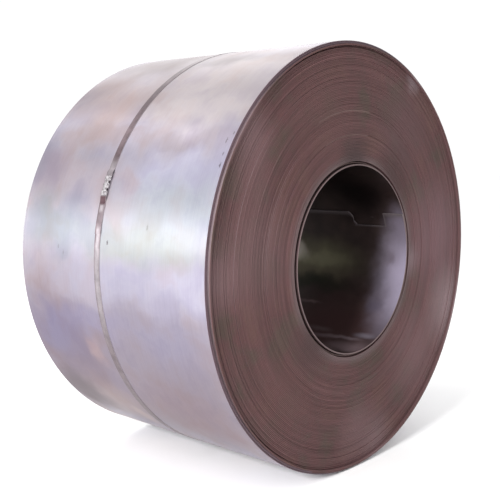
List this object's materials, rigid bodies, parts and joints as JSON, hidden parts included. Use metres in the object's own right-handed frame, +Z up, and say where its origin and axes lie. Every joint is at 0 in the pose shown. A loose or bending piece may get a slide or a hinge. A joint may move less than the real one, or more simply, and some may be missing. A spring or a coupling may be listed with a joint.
{
  "type": "steel coil",
  "caption": "Hot-rolled steel strip wound into a coil, lying on its side with an open bore, tied round the girth by a sealed steel strap.",
  "frame": {"origin": "on the ground under the middle of the coil", "axes": "+Z up; +Y along the coil's axis from its front end to its back end; +X to the right as the front end is seen"},
  "size_m": [1.7322, 1.073, 1.7291],
  "materials": {
    "mill_scale_steel": "hot-rolled mill scale, bluish grey with brown haze, rusty strip edges",
    "strapping_steel": "oxidised brown-black strapping, bright where rubbed",
    "seal_steel": "bright zinc-plated seal sheet"
  },
  "bodies": {
    "root": {"coil": "mill_scale_steel", "strap": "strapping_steel", "strap_seal": "seal_steel"}
  },
  "joints": []
}
